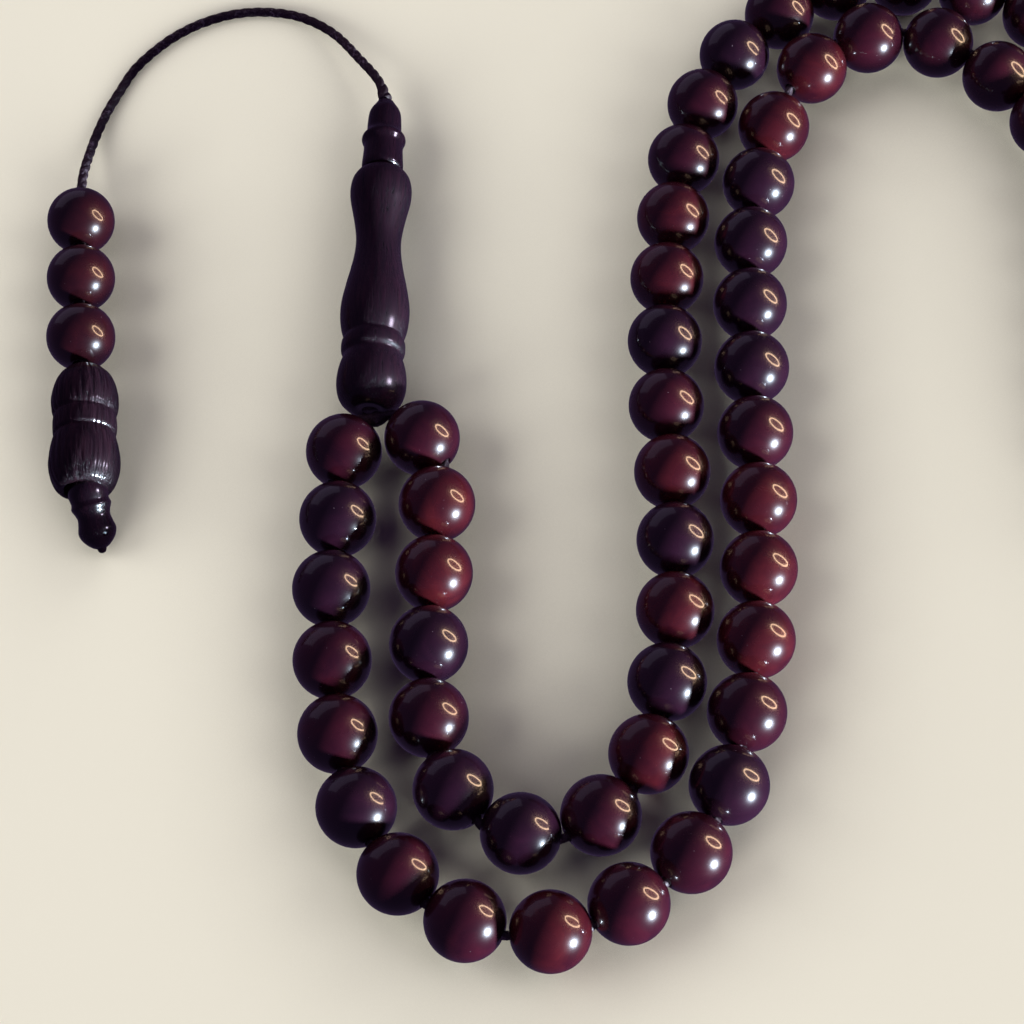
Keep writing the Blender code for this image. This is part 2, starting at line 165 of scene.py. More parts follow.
def walk(line, index, distances):
    """Points along the line from line[index], each at its straight distance from the one before."""
    here = line[index]
    found = [here]
    for distance in distances:
        while (line[index + 1] - here).length < distance:
            index += 1
        near = (line[index] - here).length
        far = (line[index + 1] - here).length
        here = line[index].lerp(line[index + 1], (distance - near) / (far - near))
        found.append(here)
    return found


def strand(route, slack, lean):
    """Every bead of a strand, from the pillar on: (middle in the plan, bore direction)."""
    line = smooth_line(route)
    first = Vector(route[1])
    start = min(range(len(line)), key=lambda i: (line[i] - first).length)
    steps = [BEAD_PITCH + slack.get(i, 0.0) for i in range(1, BEADS_PER_STRAND)]
    middles = walk(line, start, steps)
    beads = []
    for i, middle in enumerate(middles):
        if i in lean:
            beads.append((middle, heading(math.radians(lean[i]))))
            continue
        after = middles[i + 1] if i + 1 < len(middles) else line[-1]
        along = after - middles[i - 1]
        beads.append((middle, Vector((along.x, along.y, 0.0)).normalized()))
    return beads


outer = strand(OUTER_ROUTE, OUTER_SLACK, OUTER_LEAN)
inner = strand(INNER_ROUTE, {}, INNER_LEAN)


# ---------------------------------------------------------------- camera

VIEW_ELEVATION = math.radians(62.07)
camera_data = bpy.data.cameras.new("camera")
camera_data.sensor_width = 36.0
camera_data.lens = 87.88
camera_data.clip_start = 0.01
camera_data.clip_end = 20.0
camera = bpy.data.objects.new("camera", camera_data)
camera.location = plan(0.0, -123.84, 233.59)
camera.rotation_euler = (math.pi / 2 - VIEW_ELEVATION, 0.0, 0.0)
bpy.context.scene.collection.objects.link(camera)
bpy.context.scene.camera = camera


# ---------------------------------------------------------------- shapes

model = bpy.data.collections.new("misbaha")
bpy.context.scene.collection.children.link(model)


def new_cord(name, mesh, material):
    """A cord's piece, with its mesh already in place."""
    piece = bpy.data.objects.new(name, mesh)
    model.objects.link(piece)
    mesh.materials.append(material)
    return piece


def frames_along(points):
    """A direction and two crosswise directions at each point of a line, without twist."""
    ahead = [(b - a).normalized() for a, b in zip(points, points[1:])]
    along = [ahead[0]] + [(a + b).normalized() for a, b in zip(ahead, ahead[1:])] + [ahead[-1]]
    side = along[0].orthogonal().normalized()
    frames = []
    for direction in along:
        side = (side - direction * side.dot(direction)).normalized()
        frames.append((direction, side, direction.cross(side)))
    return frames


def finished(name, vertices, faces):
    """A smooth-shaded mesh with its faces turned outwards."""
    mesh = bpy.data.meshes.new(name)
    mesh.from_pydata(vertices, [], faces)
    shape = bmesh.new()
    shape.from_mesh(mesh)
    bmesh.ops.recalc_face_normals(shape, faces=shape.faces)
    shape.to_mesh(mesh)
    shape.free()
    mesh.shade_smooth()
    return mesh


# How deep the grooves between a cord's strands are, how round the strands, and how uneven.
STRAND_RELIEF = 0.22
STRAND_ROUNDNESS = 0.7
ROPE_FUZZ = 0.03


def line_length(points):
    return sum((b - a).length for a, b in zip(points, points[1:]))


def rope(name, points, radius, twist, lobes=3, sides=24, swell=None):
    """A laid cord along points (plan, mm): strands wind round its line once every `twist` mm."""
    frames = frames_along(points)
    done = 0.0
    total = line_length(points)
    turns = total / twist
    vertices, faces, rings = [], [], []
    for i, (point, (_, side, up)) in enumerate(zip(points, frames)):
        if i:
            done += (point - points[i - 1]).length
        share = done / total
        phase = 2 * math.pi * turns * share
        size = radius * (swell(share) if swell else 1.0)
        ring = []
        for k in range(sides):
            a = 2 * math.pi * k / sides
            crown = abs(math.cos(lobes * a / 2)) ** STRAND_ROUNDNESS
            fuzz = ROPE_FUZZ * noise.noise(Vector((done * 1.3, math.cos(a) * 2, math.sin(a) * 2)))
            r = size * (1.0 - STRAND_RELIEF + STRAND_RELIEF * crown + fuzz)
            place = point + (side * math.cos(a + phase) + up * math.sin(a + phase)) * r
            ring.append(len(vertices))
            vertices.append(plan(*place))
        rings.append(ring)
    for low, high in zip(rings, rings[1:]):
        for k in range(sides):
            n = (k + 1) % sides
            faces.append((low[k], low[n], high[n], high[k]))
    faces.append(tuple(reversed(rings[0])))
    faces.append(tuple(rings[-1]))
    return finished(name, vertices, faces)


# Furrows along a turned piece: none nearer its axis than this, in mm, and how fast they change
# round it and along it. Finer ones lie over them.
FURROWS_FROM = 1.6
FURROWS_ROUND = 8.0
FURROWS_ALONG = 0.22
FINE_FURROW_DEPTH = 0.6
FINE_FURROW_SCALE = 2.7


def lathe(name, outline, sides, grain=0.0, seed=0, closed=True):
    """A turned solid round the z axis from (radius, height) in mm; closed joins the outline's ends.

    grain presses shallow lengthwise furrows into the outside, this deep in mm.
    """
    rng = random.Random(seed)
    shift = Vector((rng.uniform(-50, 50), rng.uniform(-50, 50), 0.0))
    vertices, rings = [], []
    for r, z in outline:
        if r < 1e-6:
            rings.append([len(vertices)])
            vertices.append((0.0, 0.0, z * MM))
            continue
        ring = []
        for k in range(sides):
            a = 2 * math.pi * k / sides
            depth = 0.0
            if grain and r > FURROWS_FROM:
                round_it = Vector((math.cos(a), math.sin(a), 0.0)) * FURROWS_ROUND
                spot = round_it + Vector((0.0, 0.0, z * FURROWS_ALONG)) + shift
                fine = max(0.0, noise.noise(spot * FINE_FURROW_SCALE + shift))
                depth = grain * (max(0.0, noise.noise(spot)) + FINE_FURROW_DEPTH * fine)
            ring.append(len(vertices))
            near = (r - depth) * MM
            vertices.append((near * math.cos(a), near * math.sin(a), z * MM))
        rings.append(ring)
    faces = []
    pairs = list(zip(rings, rings[1:]))
    if closed:
        pairs.append((rings[-1], rings[0]))
    for low, high in pairs:
        for k in range(sides):
            n = (k + 1) % sides
            if len(low) == 1 and len(high) == 1:
                continue
            if len(low) == 1:
                faces.append((low[0], high[n], high[k]))
            elif len(high) == 1:
                faces.append((low[k], low[n], high[0]))
            else:
                faces.append((low[k], low[n], high[n], high[k]))
    return finished(name, vertices, faces)


def placed(at, direction, roll=0.0):
    """The matrix that lays a turned piece down: its z axis along direction, at a place in metres."""
    yaw = math.atan2(direction.y, direction.x)
    pitch = math.acos(max(-1.0, min(1.0, direction.z)))
    turned = Matrix.Rotation(yaw, 4, "Z") @ Matrix.Rotation(pitch, 4, "Y")
    return Matrix.Translation(at) @ turned @ Matrix.Rotation(roll, 4, "Z")


def bead_outline(radius, half_length, bore):
    """A ball's section, flattened at its ends and bored, with rounded mouths; closed."""
    lip_steps, blend_steps, ball_steps = 5, 4, 34
    flat = bore + BALL_LIP
    upper = []
    for i in range(lip_steps + 1):
        a = math.pi / 2 * i / lip_steps
        upper.append((flat - BALL_LIP * math.cos(a), half_length - BALL_LIP + BALL_LIP * math.sin(a)))
    # The end is blended into the ball up to this angle, a little past where they would meet.
    blend = math.acos(half_length / radius) * 1.22
    ball_r, ball_z = radius * math.sin(blend), radius * math.cos(blend)
    for i in range(1, blend_steps):
        t = i / blend_steps
        upper.append((flat + (ball_r - flat) * t, half_length + (ball_z - half_length) * t * t))
    outline = list(upper)
    for i in range(ball_steps + 1):
        a = blend + (math.pi - 2 * blend) * i / ball_steps
        outline.append((radius * math.sin(a), radius * math.cos(a)))
    outline += [(r, -z) for r, z in reversed(upper)]
    outline += [(bore, -half_length * 0.4), (bore, half_length * 0.4)]
    return outline


def smooth_outline(outline, per_gap=6):
    """A smooth section (height, radius) through the given one, which starts and ends where it does."""
    line = smooth_line([(z, r) for z, r in outline], steps=per_gap)
    return [(p.y, p.x) for p in line]


# ---------------------------------------------------------------- materials


def new_material(name):
    material = bpy.data.materials.new(name)
    material.use_nodes = True
    tree = material.node_tree
    shader = tree.nodes["Principled BSDF"]
    return material, tree, shader


def add(tree, kind, **values):
    node = tree.nodes.new(kind)
    for key, value in values.items():
        setattr(node, key, value)
    return node


# Each piece's texture is moved by up to this much, so that no two pieces look the same.
TEXTURE_SPREAD = 61.0


def scaled_coordinates(tree, scale, shuffle=True):
    """Coordinates in millimetres times a scale for each axis, moved to another place for each piece."""
    coordinates = add(tree, "ShaderNodeTexCoord")
    size = add(tree, "ShaderNodeVectorMath", operation="MULTIPLY")
    size.inputs[1].default_value = [s / MM for s in scale]
    tree.links.new(coordinates.outputs["Object"], size.inputs[0])
    if not shuffle:
        return size.outputs[0]
    info = add(tree, "ShaderNodeObjectInfo")
    spread = add(tree, "ShaderNodeMath", operation="MULTIPLY")
    spread.inputs[1].default_value = TEXTURE_SPREAD
    tree.links.new(info.outputs["Random"], spread.inputs[0])
    moved = add(tree, "ShaderNodeVectorMath", operation="ADD")
    tree.links.new(size.outputs[0], moved.inputs[0])
    tree.links.new(spread.outputs[0], moved.inputs[1])
    return moved.outputs[0]


def noise_node(tree, vector, scale, detail=3.0, roughness=0.55, distortion=0.0):
    node = add(tree, "ShaderNodeTexNoise")
    node.inputs["Scale"].default_value = scale
    node.inputs["Detail"].default_value = detail
    node.inputs["Roughness"].default_value = roughness
    node.inputs["Distortion"].default_value = distortion
    tree.links.new(vector, node.inputs["Vector"])
    return node.outputs["Fac"]


def ramp(tree, value, stops):
    node = add(tree, "ShaderNodeValToRGB")
    elements = node.color_ramp.elements
    while len(elements) < len(stops):
        elements.new(0.5)
    for element, (place, colour) in zip(elements, stops):
        element.position = place
        element.color = (*colour, 1.0)
    tree.links.new(value, node.inputs["Fac"])
    return node.outputs["Color"]


def spread_to(tree, value, low, high, from_low=0.0, from_high=1.0):
    node = add(tree, "ShaderNodeMapRange")
    node.inputs["From Min"].default_value = from_low
    node.inputs["From Max"].default_value = from_high
    node.inputs["To Min"].default_value = low
    node.inputs["To Max"].default_value = high
    tree.links.new(value, node.inputs["Value"])
    return node.outputs["Result"]


def halfway(dark, light):
    return tuple((a + b) / 2 for a, b in zip(dark, light))


def mix_colours(tree, amount, first, second, blend="MIX"):
    node = add(tree, "ShaderNodeMix", data_type="RGBA", blend_type=blend)
    tree.links.new(amount, node.inputs["Factor"])
    for value, socket in ((first, node.inputs[6]), (second, node.inputs[7])):
        if hasattr(value, "is_output"):
            tree.links.new(value, socket)
        else:
            socket.default_value = (*value, 1.0)
    return node.outputs[2]


def bump(tree, shader, height, strength, distance, sockets=("Normal",)):
    node = add(tree, "ShaderNodeBump")
    node.inputs["Strength"].default_value = strength
    node.inputs["Distance"].default_value = distance
    tree.links.new(height, node.inputs["Height"])
    for socket in sockets:
        tree.links.new(node.outputs["Normal"], shader.inputs[socket])


def resin(name, dark, light, cloud_scale):
    """Polished resin: cloudy colour under a hard gloss, with hairline scratches and specks of dust."""
    material, tree, shader = new_material(name)
    place = scaled_coordinates(tree, (1.0, 1.0, 1.0))
    clouds = noise_node(tree, place, 0.22 * cloud_scale, 4.0, 0.6, 0.6)
    colour = ramp(tree, clouds, [(0.32, dark), (0.55, halfway(dark, light)), (0.72, light)])
    dust_place = noise_node(tree, place, 2.3, 2.0, 0.5)
    dust = spread_to(tree, dust_place, 0.0, 1.0, 0.765, 0.80)
    colour = mix_colours(tree, dust, colour, (0.30, 0.22, 0.24))
    tree.links.new(colour, shader.inputs["Base Color"])
    wear = noise_node(tree, place, 0.6, 5.0, 0.65, 1.2)
    tree.links.new(spread_to(tree, wear, 0.22, 0.31), shader.inputs["Roughness"])
    shader.inputs["IOR"].default_value = 1.52
    shader.inputs["Coat Weight"].default_value = 1.0
    shader.inputs["Coat Roughness"].default_value = 0.024
    shader.inputs["Specular IOR Level"].default_value = 0.36
    shader.inputs["Coat IOR"].default_value = 1.5
    streak_place = scaled_coordinates(tree, (0.35, 3.0, 0.5))
    scratches = noise_node(tree, streak_place, 2.6, 6.0, 0.75, 0.3)
    bump(tree, shader, scratches, 0.10, 0.00004, ("Normal",))
    waviness = noise_node(tree, place, 0.35, 2.0, 0.5)
    dents = spread_to(tree, noise_node(tree, place, 1.5, 1.0, 0.5), 0.0, 0.10, 0.77, 0.83)
    surface = add(tree, "ShaderNodeMath", operation="SUBTRACT")
    tree.links.new(waviness, surface.inputs[0])
    tree.links.new(dents, surface.inputs[1])
    bump(tree, shader, surface.outputs[0], 0.04, 0.00025, ("Coat Normal",))
    return material


def turned_wood(name, dark, light, rough, coat, coat_rough, grain_depth):
    """Dark hardwood turned along the grain, rubbed to a satin."""
    material, tree, shader = new_material(name)
    fibres_at = scaled_coordinates(tree, (1.6, 1.6, 0.10))
    fibres = noise_node(tree, fibres_at, 1.5, 6.0, 0.7, 0.4)
    pores_at = scaled_coordinates(tree, (4.0, 4.0, 0.22))
    pores = noise_node(tree, pores_at, 1.3, 4.0, 0.6)
    bands_at = scaled_coordinates(tree, (0.4, 0.4, 0.05))
    bands = noise_node(tree, bands_at, 1.0, 3.0, 0.5, 0.5)
    colour = ramp(tree, fibres, [(0.30, dark), (0.52, halfway(dark, light)), (0.70, light)])
    shade = ramp(tree, bands, [(0.3, (0.55, 0.5, 0.6)), (0.7, (1.0, 1.0, 1.0))])
    whole = add(tree, "ShaderNodeValue")
    whole.outputs[0].default_value = 1.0
    colour = mix_colours(tree, whole.outputs[0], colour, shade, "MULTIPLY")
    hole = spread_to(tree, pores, 1.0, 0.0, 0.30, 0.42)
    colour = mix_colours(tree, hole, colour, tuple(c * 0.3 for c in dark))
    tree.links.new(colour, shader.inputs["Base Color"])
    tree.links.new(spread_to(tree, fibres, rough + 0.14, rough - 0.06), shader.inputs["Roughness"])
    shader.inputs["Specular IOR Level"].default_value = 0.10
    shader.inputs["Coat Weight"].default_value = coat
    shader.inputs["Coat Roughness"].default_value = coat_rough
    height = add(tree, "ShaderNodeMath", operation="ADD")
    tree.links.new(fibres, height.inputs[0])
    tree.links.new(spread_to(tree, pores, 0.0, 1.0, 0.30, 0.45), height.inputs[1])
    bump(tree, shader, height.outputs[0], 0.55, grain_depth)
    return material


def waxed_cord(name):
    """Laid, waxed thread: dark strands with fibres along them and pale flecks of wax."""
    material, tree, shader = new_material(name)
    place = scaled_coordinates(tree, (1.0, 1.0, 1.0), shuffle=False)
    fibres = noise_node(tree, place, 6.0, 4.0, 0.7)
    colour = ramp(
        tree, fibres,
        [(0.3, (0.020, 0.010, 0.014)), (0.52, (0.062, 0.036, 0.044)), (0.72, (0.15, 0.105, 0.12))],
    )
    patches = noise_node(tree, place, 0.30, 3.0, 0.6)
    wax = noise_node(tree, place, 2.4, 3.0, 0.6)
    fleck = add(tree, "ShaderNodeMath", operation="MULTIPLY")
    tree.links.new(spread_to(tree, patches, 0.0, 1.0, 0.46, 0.62), fleck.inputs[0])
    tree.links.new(spread_to(tree, wax, 0.0, 1.0, 0.50, 0.72), fleck.inputs[1])
    colour = mix_colours(tree, fleck.outputs[0], colour, (0.42, 0.34, 0.41))
    tree.links.new(colour, shader.inputs["Base Color"])
    tree.links.new(spread_to(tree, wax, 0.75, 0.45), shader.inputs["Roughness"])
    shader.inputs["Coat Weight"].default_value = 0.25
    shader.inputs["Coat Roughness"].default_value = 0.35
    bump(tree, shader, fibres, 0.6, 0.00006)
    return material


resins = {
    "mid": resin("resin_mid", (0.023, 0.003, 0.0085), (0.058, 0.0065, 0.014), 1.0),
    "red": resin("resin_red", (0.036, 0.0035, 0.008), (0.095, 0.010, 0.013), 1.0),
    "tail": resin("resin_tail", (0.017, 0.003, 0.006), (0.046, 0.006, 0.009), 1.0),
    "dark": resin("resin_dark", (0.014, 0.0035, 0.010), (0.031, 0.0065, 0.018), 1.1),
}
# Each wood: its dark and light, roughness, gloss coat and its roughness, and its grain's depth in m.
wood = turned_wood(
    "satin_wood", (0.008, 0.003, 0.007), (0.030, 0.009, 0.017), 0.36, 0.9, 0.21, 0.00010
)
furrowed_wood = turned_wood(
    "furrowed_wood", (0.005, 0.002, 0.005), (0.042, 0.016, 0.024), 0.36, 0.55, 0.14, 0.00020
)
polished_wood = turned_wood(
    "polished_wood", (0.007, 0.003, 0.007), (0.024, 0.007, 0.013), 0.24, 1.0, 0.14, 0.00003
)
cord_material = waxed_cord("waxed_cord")


# ---------------------------------------------------------------- cords

TAIL_CORD_STEP = 0.16
TAIL_CORD_RADIUS = 0.55
TAIL_CORD_TWIST = 4.2
FRAY = 0.5
FRAY_LENGTH = 2.6
PILLAR_CORD_STEP = 0.4
PILLAR_CORD_RADIUS = 0.8
PILLAR_CORD_TWIST = 6.0
LOOP_CORD_STEP = 0.35
LOOP_CORD_RADIUS = 0.5
LOOP_CORD_TWIST = 3.6
KNOT_RADIUS = 0.9


def evenly(points, step):
    """The line again, with its points about step mm apart."""
    line = smooth_line(points, steps=30)
    reach = [0.0]
    for a, b in zip(line, line[1:]):
        reach.append(reach[-1] + (b - a).length)
    count = round(reach[-1] / step)
    index = 0
    spaced = []
    for k in range(count + 1):
        goal = reach[-1] * k / count
        while index < len(line) - 2 and reach[index + 1] < goal:
            index += 1
        share = (goal - reach[index]) / (reach[index + 1] - reach[index])
        spaced.append(line[index].lerp(line[index + 1], share))
    return spaced


tip_heading = heading(TIP_HEADING) * math.cos(TIP_DROP)
tip_direction = Vector((tip_heading.x, tip_heading.y, -math.sin(TIP_DROP)))
seat = Vector(FINIAL_TOP) + heading(FINIAL_HEADING).xy * SEAT_AT
tip_ball = Vector((seat.x + TIP_SHIFT, seat.y, TURNED_RADIUS))
bore_end = Vector(FINIAL_TOP) + heading(FINIAL_HEADING).xy * FINIAL_BORE_END
tail_along = heading(TAIL_HEADING)
tail_middles = [Vector(TAIL_FIRST_BEAD) + tail_along.xy * TAIL_BEAD_PITCH * i for i in range(TAIL_BEADS)]
tail_points = evenly(
    [
        *TAIL_ROUTE,
        *[(*m, TAIL_BEAD_RADIUS) for m in tail_middles],
        (*FINIAL_TOP, TURNED_RADIUS),
        (*bore_end, TURNED_RADIUS),
        tip_ball,
        tip_ball + tip_direction * TIP_CORD_DEPTH,
    ],
    TAIL_CORD_STEP,
)
tail_cord_length = line_length(tail_points) * MM


def fray(share):
    """The tail cord spreads a little where it comes out of the cap."""
    return 1.0 + FRAY * max(0.0, 1.0 - share * tail_cord_length / MM / FRAY_LENGTH)


tail_cord = new_cord(
    "tail_cord_laid",
    rope("tail_cord_laid", tail_points, TAIL_CORD_RADIUS, TAIL_CORD_TWIST, swell=fray),
    cord_material,
)

along = heading(PILLAR_HEADING)
cap_base = Vector(PILLAR_BASE) + along.xy * (PILLAR_LENGTH + CAP_GAP)
cap_top = cap_base + along.xy * CAP_LENGTH
# The cord stops this far short of the cap's top.
cord_top = cap_top - along.xy * 0.3
pillar_points = evenly(
    [(*PILLAR_BASE, TURNED_RADIUS), (*cord_top, TURNED_RADIUS)], PILLAR_CORD_STEP
)
pillar_cord = new_cord(
    "pillar_cord_laid",
    rope("pillar_cord_laid", pillar_points, PILLAR_CORD_RADIUS, PILLAR_CORD_TWIST, lobes=2),
    cord_material,
)


def mouths(middle, direction, half_length):
    """Where the cord goes into a bored piece and comes out."""
    shift = direction.xy * half_length
    return [(*(middle - shift), BEAD_RADIUS), (*(middle + shift), BEAD_RADIUS)]


there = [p for middle, direction in outer for p in mouths(middle, direction, BEAD_HALF_LENGTH)]
back = [
    p for middle, direction in reversed(inner)
    for p in reversed(mouths(middle, direction, BEAD_HALF_LENGTH))
]
far_turn = mouths(Vector(SEPARATOR_AT), heading(SEPARATOR_HEADING), SEPARATOR_HALF_LENGTH)
knot = Vector((*KNOT_AT, BEAD_RADIUS))
# Each end runs a little past the knot, into the other end.
KNOT_OVERLAP = 0.7
# The swelling dies away this far from the knot along the cord, and this far along the end.
KNOT_REACH = 1.1
KNOT_END_REACH = 0.85
first_end = knot.lerp(Vector(back[-1]), KNOT_OVERLAP / (Vector(back[-1]) - knot).length)
last_end = knot.lerp(Vector(there[0]), KNOT_OVERLAP / (Vector(there[0]) - knot).length)
ring_line = evenly([first_end, knot, *there, *far_turn, *back, knot, last_end], LOOP_CORD_STEP)
loop_length = line_length(ring_line)


def knot_swell(share):
    """The loop cord is thicker at the knot, near both ends of its line."""
    away = min(share, 1.0 - share) * loop_length - KNOT_OVERLAP
    reach = KNOT_END_REACH if away < 0.0 else KNOT_REACH
    rise = max(0.0, 1.0 - abs(away) / reach) ** 0.6
    return 1.0 + (KNOT_RADIUS / LOOP_CORD_RADIUS - 1.0) * rise


loop_cord = new_cord(
    "loop_cord_laid",
    rope("loop_cord_laid", ring_line, LOOP_CORD_RADIUS, LOOP_CORD_TWIST, sides=12, swell=knot_swell),
    cord_material,
)


# ---------------------------------------------------------------- beads

BEAD_SEGMENTS = 72
bead_meshes = {}
for tone, material in resins.items():
    for size, radius, half_length, bore in (
        ("loop", BEAD_RADIUS, BALL_HALF_LENGTH, BALL_BORE),
        ("tail", TAIL_BEAD_RADIUS, TAIL_HALF_LENGTH, BEAD_BORE),
    ):
        mesh = lathe(f"bead_{tone}_{size}", bead_outline(radius, half_length, bore), BEAD_SEGMENTS)
        mesh.materials.append(material)
        bead_meshes[tone, size] = mesh

# Bead numbers along each strand, from the pillar, that are redder or darker than the rest.
REDDER = {"outer": {9, 14, 15, 16, 22, 23}, "inner": {2, 3, 9, 11, 13, 16, 17}}
DARKER = {"outer": {2, 3, 6, 12, 18, 19, 20, 21}, "inner": {4, 6, 7, 10, 12, 15, 20}}
OUTER_SINGLES = 25
INNER_SINGLES = 21
INNER_FIRST_RUN = 6
rng = random.Random(33)


def tone_of(side, number):
    if number in REDDER[side]:
        return "red"
    if number in DARKER[side]:
        return "dark"
    return "mid"


beads = []


def add_bead(name, mesh, at, direction, body, node):
    bead = bpy.data.objects.new(name, mesh)
    bead.matrix_world = placed(at, direction, rng.uniform(0.0, 2.0 * math.pi))
    model.objects.link(bead)
    beads.append((bead, body, node))


for side, line, singles in (("outer", outer, OUTER_SINGLES), ("inner", inner, INNER_SINGLES)):
    for number, (middle, direction) in enumerate(line, 1):
        if number <= singles:
            body = node = f"{side}_bead_{number:02d}"
        else:
            body = "loop"
            node = "outer_bead_run"
            if side == "inner":
                node = "inner_bead_run_1" if number <= singles + INNER_FIRST_RUN else "inner_bead_run_2"
        mesh = bead_meshes[tone_of(side, number), "loop"]
        add_bead(f"{side}_ball_{number:02d}", mesh, plan(*middle, BEAD_RADIUS), direction, body, node)
for number, middle in enumerate(tail_middles, 1):
    body = f"tail_bead_{number}"
    mesh = bead_meshes["tail", "tail"]
    add_bead(f"tail_ball_{number}", mesh, plan(*middle, TAIL_BEAD_RADIUS), tail_along, body, body)


# ---------------------------------------------------------------- turned pieces

# Outlines: distance from the piece's lower end, and radius. The tip's starts at its ball's middle.
PILLAR_OUTLINE = [
    (0.0, 1.9), (0.35, 2.5), (1.2, 3.3), (2.2, 3.66), (3.2, 3.77), (4.4, 3.7), (5.6, 3.45), (6.3, 3.22),
    (6.55, 3.18), (6.75, 3.24), (7.1, 3.42), (7.7, 3.48), (8.3, 3.42), (8.65, 3.26), (8.85, 3.22),
    (9.1, 3.3), (10.2, 3.6), (11.8, 3.76), (13.2, 3.72), (15.5, 3.35), (17.7, 2.9), (20.0, 2.55),
    (21.8, 2.5), (23.5, 2.7), (25.2, 3.0), (27.0, 3.35), (28.4, 3.42), (29.6, 3.2), (30.4, 2.7),
    (30.7, 2.2),
]
CAP_OUTLINE = [
    (0.0, 1.9), (0.12, 2.12), (0.5, 2.3), (1.6, 2.27), (2.8, 2.2), (3.4, 2.22), (3.8, 2.35), (4.15, 2.47),
    (4.5, 2.43), (4.8, 2.26), (5.1, 2.07), (5.5, 1.95), (6.3, 1.92), (7.2, 1.87), (7.9, 1.78),
    (8.4, 1.6), (8.8, 1.36), (9.2, 1.12), (9.5, 0.95),
]
FINIAL_OUTLINE = [
    (0.0, 1.3), (0.3, 1.75), (0.65, 2.2), (1.5, 2.9), (2.6, 3.33), (4.0, 3.58), (5.1, 3.54), (5.6, 3.44),
    (5.95, 3.27), (6.1, 3.25), (6.35, 3.33), (6.9, 3.4), (7.7, 3.4), (8.2, 3.34), (8.4, 3.2), (8.5, 3.18),
    (8.75, 3.3), (9.8, 3.56), (11.6, 3.78), (13.0, 3.66), (14.2, 3.28), (14.8, 2.9), (15.05, 2.5),
]
TIP_OUTLINE = [
    (0.3, 2.08), (0.6, 2.04), (0.9, 1.99), (1.15, 2.05), (1.4, 2.12), (1.7, 2.04), (2.1, 1.85), (2.6, 1.73),
    (3.3, 1.84), (4.1, 2.0), (4.8, 1.78), (5.4, 1.33), (5.8, 0.85), (6.0, 0.5), (6.15, 0.46), (6.4, 0.3),
    (6.5, 0.0),
]
SEPARATOR_OUTLINE = [
    (-1.35, 2.7), (-1.2, 3.05), (-0.7, 3.4), (0.0, 3.5), (0.7, 3.4), (1.2, 3.05), (1.35, 2.7),
]
# The bore through both the pillar and the cap.
PILLAR_BORE = 0.85
FINIAL_BORE = 0.9
SEAT_RADIUS = 2.2
# The tip's ball nearly fills its seat. Its hole for the cord's end runs between these heights.
TIP_BALL_RADIUS = 2.1
TIP_BALL_EDGE = math.radians(3)
TIP_HOLE_MOUTH = 0.3
TIP_HOLE_BOTTOM = 1.0


def drilled(outline, bore, per_gap=5):
    """A smooth closed section: the outside from the top down, and back up the bore."""
    outside = list(reversed(smooth_outline(outline, per_gap)))
    return outside + [(bore, outline[0][0]), (bore, outline[-1][0])]


def arc(radius, at, start, end, steps=8):
    angles = [start + (end - start) * i / steps for i in range(steps + 1)]
    return [(radius * math.cos(a), at + radius * math.sin(a)) for a in angles]


pillar_mesh = lathe("pillar_turned", drilled(PILLAR_OUTLINE, PILLAR_BORE), 128, grain=0.012, seed=2)
cap_mesh = lathe("cap_turned", drilled(CAP_OUTLINE, PILLAR_BORE), 96, grain=0.004, seed=3)
finial_section = list(reversed(smooth_outline(FINIAL_OUTLINE, 5))) + [(FINIAL_BORE, 0.0)]
deepest = -math.acos(FINIAL_BORE / SEAT_RADIUS)
shallowest = math.asin((FINIAL_OUTLINE[-1][0] - SEAT_AT) / SEAT_RADIUS)
finial_section += arc(SEAT_RADIUS, SEAT_AT, deepest, shallowest)
finial_mesh = lathe("finial_body_turned", finial_section, 220, grain=0.15, seed=4)
tip_section = list(reversed(smooth_outline(TIP_OUTLINE, 5)))
tip_section += arc(TIP_BALL_RADIUS, 0.0, TIP_BALL_EDGE, -math.acos(FINIAL_BORE / TIP_BALL_RADIUS))
tip_section += [(FINIAL_BORE, TIP_HOLE_MOUTH), (FINIAL_BORE, TIP_HOLE_BOTTOM), (0.0, TIP_HOLE_BOTTOM)]
tip_mesh = lathe("finial_tip_turned", tip_section, 96, grain=0.012, seed=5, closed=False)
separator_mesh = lathe(
    "separator_turned", drilled(SEPARATOR_OUTLINE, BEAD_BORE), 96, grain=0.01, seed=6
)
# Each piece: its CAD node, its body, its mesh and material, and where its axis starts and points.
turned = []
for node, body, mesh, material, at, direction in (
    ("pillar", "pillar", pillar_mesh, wood, (*PILLAR_BASE, TURNED_RADIUS), along),
    ("cap", "cap", cap_mesh, polished_wood, (*cap_base, TURNED_RADIUS), along),
    ("finial_body", "finial_body", finial_mesh, furrowed_wood, (*FINIAL_TOP, TURNED_RADIUS),
     heading(FINIAL_HEADING)),
    ("finial_tip", "finial_tip", tip_mesh, polished_wood, tip_ball, tip_direction),
    ("separator", "loop", separator_mesh, wood, (*SEPARATOR_AT, BEAD_RADIUS),
     heading(SEPARATOR_HEADING)),
):
    mesh.materials.append(material)
    piece = bpy.data.objects.new(f"{node}_turned", mesh)
    piece.matrix_world = placed(plan(*at), direction)
    model.objects.link(piece)
    turned.append((piece, body, node))


# ---------------------------------------------------------------- floor and lights

object_lit = bpy.data.collections.new("lit_as_the_object")
beads_lit = bpy.data.collections.new("lit_as_the_beads")
for bead, _, _ in beads:
    beads_lit.objects.link(bead)
wood_lit = bpy.data.collections.new("lit_as_the_wood")
for piece, _, _ in turned:
    wood_lit.objects.link(piece)
floor_lit = bpy.data.collections.new("lit_as_the_floor")
for piece in model.objects:
    object_lit.objects.link(piece)


